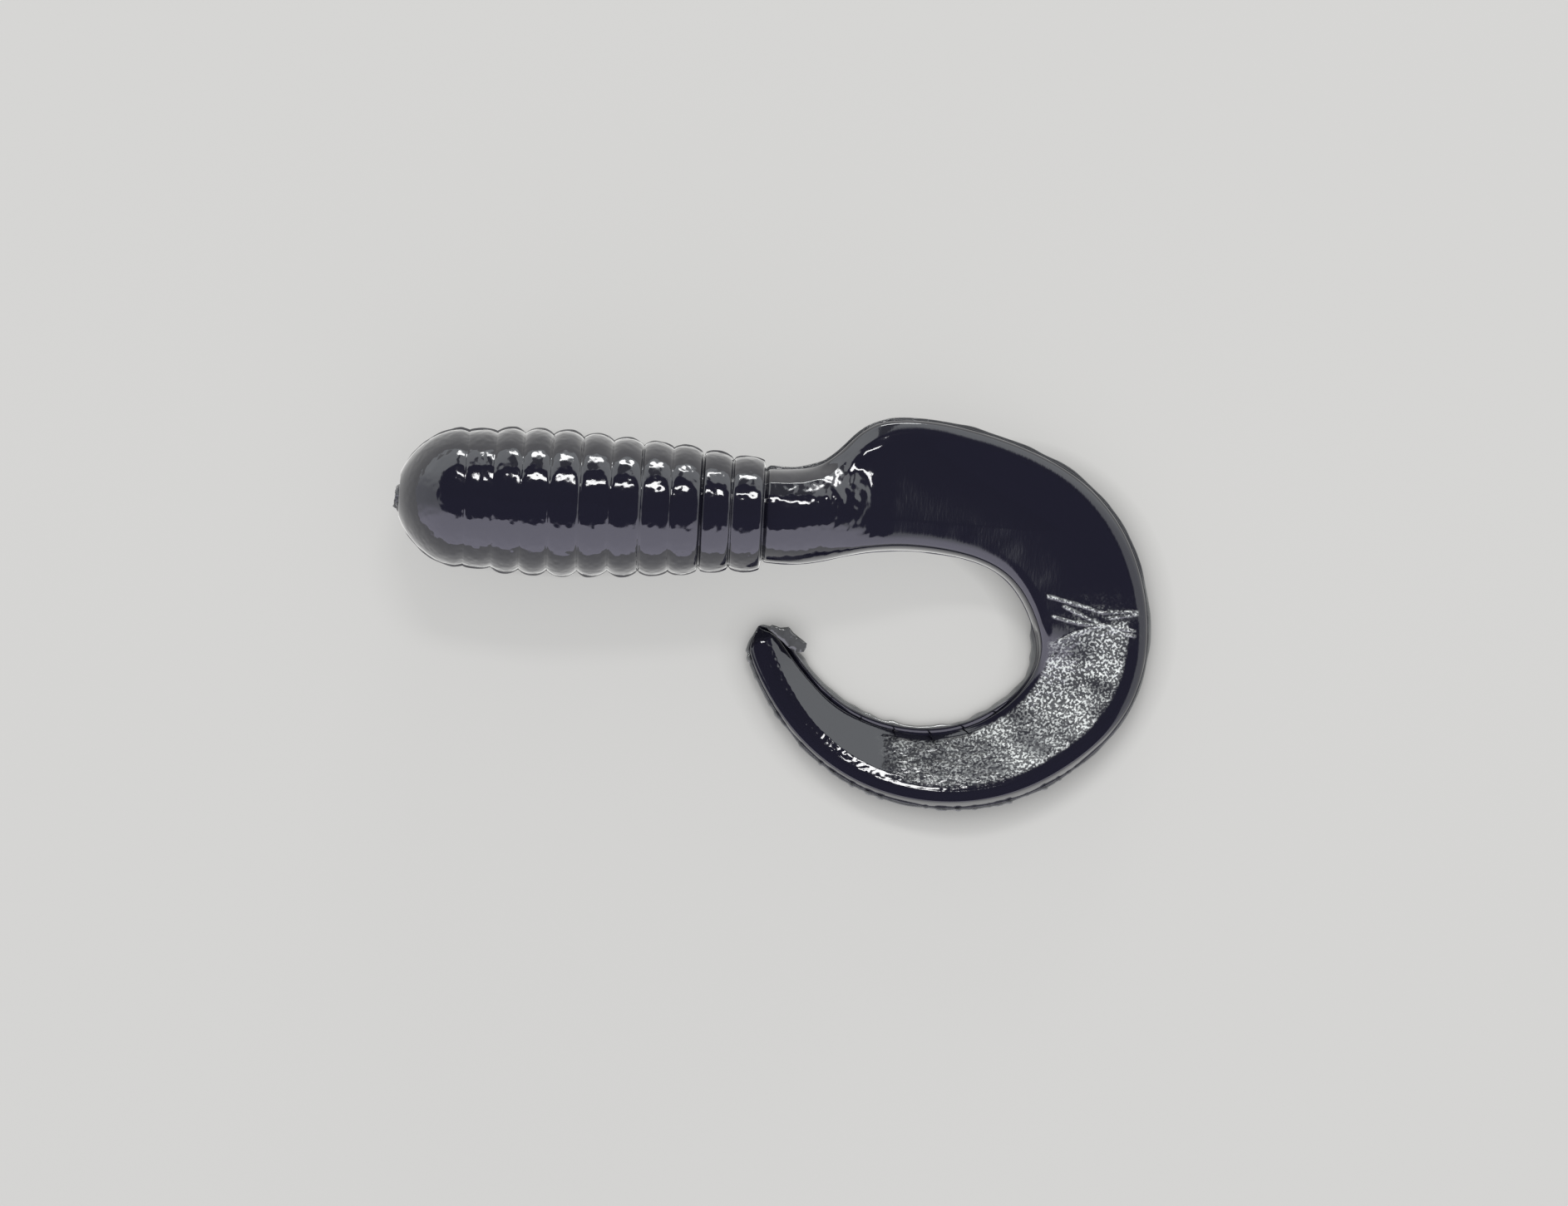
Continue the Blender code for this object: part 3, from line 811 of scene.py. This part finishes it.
def makePlastisol():
    material = bpy.data.materials.new("blackPlastisol")
    material.use_nodes = True
    nodes, links = material.node_tree.nodes, material.node_tree.links
    shader = nodes["Principled BSDF"]
    shader.inputs["IOR"].default_value = 1.5
    place = nodes.new("ShaderNodeTexCoord")

    def noiseOf(size, detail, stretch=(1, 1, 1)):
        turned = nodes.new("ShaderNodeMapping")
        turned.inputs["Scale"].default_value = stretch
        texture = nodes.new("ShaderNodeTexNoise")
        texture.inputs["Scale"].default_value = 1 / (size * mm)
        texture.inputs["Detail"].default_value = detail
        links.new(place.outputs["Object"], turned.inputs["Vector"])
        links.new(turned.outputs["Vector"], texture.inputs["Vector"])
        return texture.outputs["Fac"]

    def markOf(name):
        mark = nodes.new("ShaderNodeAttribute")
        mark.attribute_name = name
        return mark.outputs["Fac"]

    def maths(kind, a, b):
        node = nodes.new("ShaderNodeMath")
        node.operation = kind
        for socket, value in zip(node.inputs, (a, b)):
            if isinstance(value, (int, float)):
                socket.default_value = value
            else:
                links.new(value, socket)
        return node.outputs["Value"]

    # the frost mark carries real roughness and bumps, and also painted sparkle and glints in the colour
    frostedAndGlinting, filmy = markOf("frostAndGlints"), markOf("film")
    cloud = noiseOf(plastic["cloudSize"], 3)
    tone = nodes.new("ShaderNodeMix")
    tone.data_type = "RGBA"
    tone.inputs["A"].default_value = (*plastic["black"], 1)
    tone.inputs["B"].default_value = (*plastic["film"], 1)
    filmCloud = maths("ADD", 0.55, maths("MULTIPLY", cloud, 0.7))
    links.new(maths("MULTIPLY", filmy, filmCloud), tone.inputs["Factor"])
    # painted sparkle and glints: the frost mark lightens the black in grains
    paintedSparkle = nodes.new("ShaderNodeMapRange")
    paintedSparkle.inputs["From Min"].default_value, paintedSparkle.inputs["From Max"].default_value = plastic["paintedSparkleRange"]
    links.new(noiseOf(plastic["paintedSparkleSize"], 1), paintedSparkle.inputs["Value"])
    paintedSparkleMix = nodes.new("ShaderNodeMix")
    paintedSparkleMix.data_type = "RGBA"
    paintedSparkleMix.inputs["B"].default_value = (*plastic["paintedSparkle"], 1)
    links.new(tone.outputs["Result"], paintedSparkleMix.inputs["A"])
    paintedSparkle.inputs["To Min"].default_value = plastic["paintedSparkleBase"]
    links.new(maths("MULTIPLY", paintedSparkle.outputs["Result"], frostedAndGlinting), paintedSparkleMix.inputs["Factor"])
    links.new(paintedSparkleMix.outputs["Result"], shader.inputs["Base Color"])
    rough = maths("ADD", plastic["roughness"] - 0.03, maths("MULTIPLY", cloud, 0.06))
    frostRough = maths("MULTIPLY", frostedAndGlinting, plastic["frostRoughness"])
    links.new(maths("ADD", rough, frostRough), shader.inputs["Roughness"])

    fine = maths("MULTIPLY", noiseOf(plastic["grainSize"], 2), plastic["grainHeight"] * mm)
    combNoise = noiseOf(plastic["combSize"], 1, plastic["combStretch"])
    comb = maths("MULTIPLY", combNoise, plastic["combHeight"] * mm)
    ice = maths("MULTIPLY", noiseOf(plastic["frostSize"], 1), frostedAndGlinting)
    icy = maths("MULTIPLY", ice, plastic["frostHeight"] * mm)
    bump = nodes.new("ShaderNodeBump")
    bump.inputs["Distance"].default_value = 1.0
    links.new(maths("ADD", maths("ADD", fine, comb), icy), bump.inputs["Height"])
    links.new(bump.outputs["Normal"], shader.inputs["Normal"])
    return material


ball = {  # at one groove the skin turns as a ball in a socket
    "stretch": 4,
    "groove": 7,
    "ball": 0.975,  # of the groove's radius
    "socket": 0.993,
    "rows": 16,
}


def ballRows(ring, share, side):
    # rows of a ball from a ring back to its pole, with normals that face out (1) or in (-1)
    centre = np.array([ring[:, 0].mean(), seat.y, seat.z])
    spokes = (ring - centre) * (0, 1, 1)
    reach = np.linalg.norm(spokes, axis=-1)[:, None] * np.array([1.0, 0, 0])
    turns = np.linspace(0.015, math.pi / 2 - 0.05, ball["rows"])[:, None, None]
    offsets = share * (spokes * np.cos(turns) + reach * np.sin(turns))
    return centre + offsets, side * offsets / np.linalg.norm(offsets, axis=-1)[..., None]


def makeBallJoint(first, middle, last):
    # ribs in front of the groove end in a ball, and those behind it are hollowed out to take it
    plain = {key: np.zeros((ball["rows"], body["around"])) for key in bodyMarks}
    ballPlace, ballNormals = ballRows(bodyPlace[middle], ball["ball"], 1)
    holePlace, holeNormals = ballRows(bodyPlace[middle], ball["socket"], -1)
    front, back = slice(first, middle + 1), slice(middle, last + 1)
    fronts = makeSkin(
        "skin_rib_07",
        np.concatenate([bodyPlace[front], ballPlace]),
        np.concatenate([bodyNormals[front], ballNormals]),
        {key: np.concatenate([mark[front], plain[key]]) for key, mark in bodyMarks.items()},
    )
    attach(fronts, chain[ball["stretch"] - 1])
    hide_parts("rib_07")
    backs = makeSkin(
        "skin_rib_08",
        np.concatenate([holePlace[::-1], bodyPlace[back]]),
        np.concatenate([holeNormals[::-1], bodyNormals[back]]),
        {key: np.concatenate([plain[key], mark[back]]) for key, mark in bodyMarks.items()},
    )
    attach(backs, chain[ball["stretch"]])
    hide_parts("rib_08")
    return [fronts, backs]


plastisol = makePlastisol()

bodyPlace, bodyMarks, bodyX = bodySurface()
bodyNormals = surfaceNormals(bodyPlace)
cuts = [0] + [int(np.argmin(np.abs(bodyX - place))) for place in grooves[::2]]
skins = []
for number, (first, last) in enumerate(zip(cuts, cuts[1:])):
    part = slice(first, last + 1)
    ribs = f"ribs_{2 * number - 1:02d}_{2 * number:02d}" if number else "nose"
    if number == ball["stretch"]:
        continue
    marks = {key: mark[part] for key, mark in bodyMarks.items()}
    piece = makeSkin(ribs, bodyPlace[part], bodyNormals[part], marks)
    if number:
        blendAcross(piece, bodyPlace[first], bodyPlace[last])
        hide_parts(f"rib_{2 * number - 1:02d}", f"rib_{2 * number:02d}")
    else:
        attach(piece, "head")
        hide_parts("nose_dome", "gate_stub")
    skins.append(piece)
middle = int(np.argmin(np.abs(bodyX - grooves[ball["groove"]])))
skins += makeBallJoint(cuts[ball["stretch"]], middle, cuts[ball["stretch"] + 1])
print("body skin:", len(skins), "pieces")

rings = round(tipEnd * tail["rowsPerMm"])
tailLengths = tipEnd * np.arange(-1, rings + 1) / rings
tailLengths[-1] = tipEnd - 0.004
tailPlace, tailMarks = tailSurface(tailLengths)
tailNormals = surfaceNormals(tailPlace)
cuts = [1] + [int(np.argmin(np.abs(tailLengths - place))) for place in tailBreaks] + [len(tailLengths) - 1]
for number, (first, last) in enumerate(zip(cuts, cuts[1:])):
    part = slice(first, last + 1)
    name = tailNodes[number + 1]
    marks = {key: mark[part] for key, mark in tailMarks.items()}
    piece = makeSkin(f"skin_{name}", tailPlace[part], tailNormals[part], marks)
    blendAcross(piece, tailPlace[first], tailPlace[last])
    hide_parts(name, *(["neck"] if number == 0 else []))
    skins.append(piece)
print("tail skin:", len(skins), "pieces in all")

# ---- ragged flash beside the tip

flap = {
    "outline": (  # mm behind the nose seat and towards +Y
        (25.20, -7.62), (25.55, -7.36), (26.10, -7.52), (26.69, -7.44), (27.00, -7.80), (27.32, -8.04),
        (27.70, -8.30), (27.97, -8.50), (27.93, -8.78), (27.79, -9.08), (27.29, -9.17), (26.95, -8.95),
        (26.76, -8.86), (26.30, -8.45),
    ),
    "half": 0.06,
    "border": 0.10,
    "wrinkle": 0.10,
    "wrinkleSize": 0.45,
}


def makeFlap():
    low, high = nodeBox("tip_flash")
    level = (low.z + high.z) / 2
    bm = bmesh.new()
    corners = [bm.verts.new((seat.x + x, seat.y + y, level)) for x, y in flap["outline"]]
    face = bm.faces.new(corners)
    bmesh.ops.subdivide_edges(bm, edges=face.edges[:], cuts=3, smooth=0.6)
    inset = bmesh.ops.inset_region(bm, faces=bm.faces[:], thickness=flap["border"], use_even_offset=True)
    rimFaces = inset["faces"]
    bmesh.ops.triangulate(bm, faces=[f for f in bm.faces if f not in rimFaces])
    bmesh.ops.subdivide_edges(bm, edges=bm.edges[:], cuts=2, use_grid_fill=True)
    edge = {v for e in bm.edges if e.is_boundary for v in e.verts}
    middle = [v for v in bm.verts if v not in edge]
    bmesh.ops.smooth_vert(bm, verts=middle, factor=0.5, use_axis_x=True, use_axis_y=True)
    bmesh.ops.recalc_face_normals(bm, faces=bm.faces)
    whole = bmesh.ops.extrude_face_region(bm, geom=bm.faces[:])
    lifted = {v for v in whole["geom"] if isinstance(v, bmesh.types.BMVert)}
    for v in bm.verts:
        here = np.array(v.co) - np.array(seat)
        wrinkle = flap["wrinkle"] * float(grain(here * (1, 1, 0), flap["wrinkleSize"], 40))
        thick = flap["half"] * (1 + 0.7 * float(grain(here * (1, 1, 0), 0.3, 41)))
        if any(e.is_boundary or e.calc_face_angle(0) > 1 for e in v.link_edges):
            thick *= 0.6
        v.co.z += wrinkle + (thick if v in lifted else -thick)
    bmesh.ops.recalc_face_normals(bm, faces=bm.faces)
    bmesh.ops.scale(bm, vec=(mm,) * 3, verts=bm.verts)
    mesh = bpy.data.meshes.new("tipFlash")
    bm.to_mesh(mesh)
    bm.free()
    filmMark = mesh.attributes.new("film", "FLOAT", "POINT")
    filmMark.data.foreach_set("value", [0.5] * len(mesh.vertices))
    mesh.shade_smooth()
    mesh.materials.append(plastisol)
    piece = bpy.data.objects.new("tipFlash", mesh)
    bpy.context.scene.collection.objects.link(piece)
    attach(piece, "tip")
    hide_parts("tip_flash")


makeFlap()
print("flash beside the tip made")
